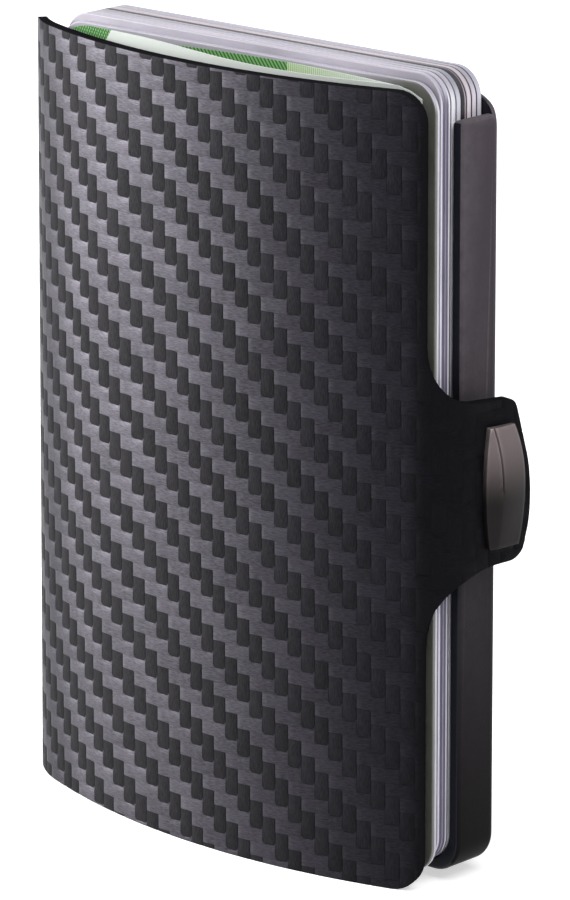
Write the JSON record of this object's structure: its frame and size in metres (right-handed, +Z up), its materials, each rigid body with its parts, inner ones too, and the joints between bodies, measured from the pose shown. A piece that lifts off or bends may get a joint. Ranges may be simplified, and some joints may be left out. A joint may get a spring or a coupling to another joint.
{
  "type": "minimalist wallet",
  "caption": "Slim card wallet: leather cover with a woven emboss round a rigid tray of cards, note pocket, and a tab with a magnetic clasp.",
  "frame": {"origin": "centre of the bounding box, on the surface that the wallet stands on", "axes": "+Z up along the cards' long edge, -Y out of the front cover, +X towards the clasp"},
  "size_m": [0.0668, 0.0166, 0.0877],
  "materials": {
    "tray_plastic": "fine-grained satin black",
    "woven_leather": "black leather embossed with a 2/2 twill weave, edges painted black",
    "leather_lining": "smooth black lining",
    "card_plastic": "white and lilac PVC card",
    "clasp_metal": "dark satin metal, bare",
    "spring_steel": "plain spring steel",
    "magnet_nickel": "nickel-plated magnet",
    "core_plastic": "plain black plastic",
    "note_paper": null,
    "bond": "double-sided adhesive film"
  },
  "bodies": {
    "case": {"card_tray": "tray_plastic", "keeper_plate": "spring_steel", "edge_spring_lower": "spring_steel", "edge_spring_upper": "spring_steel", "spine_core": "core_plastic", "back_leather": "woven_leather", "back_lining": "leather_lining", "bond_film": "bond"},
    "front_cover": {"front_leather": "woven_leather", "front_lining": "leather_lining", "note_clip": "spring_steel"},
    "tab": {"tab_leather": "woven_leather", "tab_lining": "leather_lining", "clasp_badge": "clasp_metal", "clasp_base": "clasp_metal", "clasp_magnets": "magnet_nickel", "clasp_rivets": "spring_steel"},
    "banknote": {"banknote": "note_paper"},
    "card_1": {"card_1": "card_plastic"},
    "card_2": {"card_2": "card_plastic"},
    "card_3": {"card_3": "card_plastic"},
    "card_4": {"card_4": "card_plastic"},
    "card_5": {"card_5": "card_plastic"},
    "card_6": {"card_6": "card_plastic"},
    "card_7": {"card_7": "card_plastic"},
    "card_8": {"card_8": "card_plastic"},
    "card_9": {"card_9": "card_plastic"}
  },
  "joints": [
    {"name": "cover_hinge", "type": "hinge", "parent": "case", "child": "front_cover", "pos_m": [-0.03219, 0.00047, 0.045], "axis": [0, 0, -1], "range_deg": [0, 150]},
    {"name": "tab_hinge", "type": "hinge", "parent": "front_cover", "child": "tab", "pos_m": [0.02828, -0.00369, 0.045], "axis": [0, 0, -1], "range_deg": [0, 75]},
    {"name": "note_slide", "type": "slide", "parent": "front_cover", "child": "banknote", "axis": [0, 0, 1], "range_m": [0, 0.07]},
    {"name": "card_1_slide", "type": "slide", "parent": "case", "child": "card_1", "axis": [0, 0, 1], "range_m": [0, 0.06]},
    {"name": "card_2_slide", "type": "slide", "parent": "case", "child": "card_2", "axis": [0, 0, 1], "range_m": [0, 0.06]},
    {"name": "card_3_slide", "type": "slide", "parent": "case", "child": "card_3", "axis": [0, 0, 1], "range_m": [0, 0.06]},
    {"name": "card_4_slide", "type": "slide", "parent": "case", "child": "card_4", "axis": [0, 0, 1], "range_m": [0, 0.06]},
    {"name": "card_5_slide", "type": "slide", "parent": "case", "child": "card_5", "axis": [0, 0, 1], "range_m": [0, 0.06]},
    {"name": "card_6_slide", "type": "slide", "parent": "case", "child": "card_6", "axis": [0, 0, 1], "range_m": [0, 0.06]},
    {"name": "card_7_slide", "type": "slide", "parent": "case", "child": "card_7", "axis": [0, 0, 1], "range_m": [0, 0.06]},
    {"name": "card_8_slide", "type": "slide", "parent": "case", "child": "card_8", "axis": [0, 0, 1], "range_m": [0, 0.06]},
    {"name": "card_9_slide", "type": "slide", "parent": "case", "child": "card_9", "axis": [0, 0, 1], "range_m": [0, 0.06]}
  ]
}
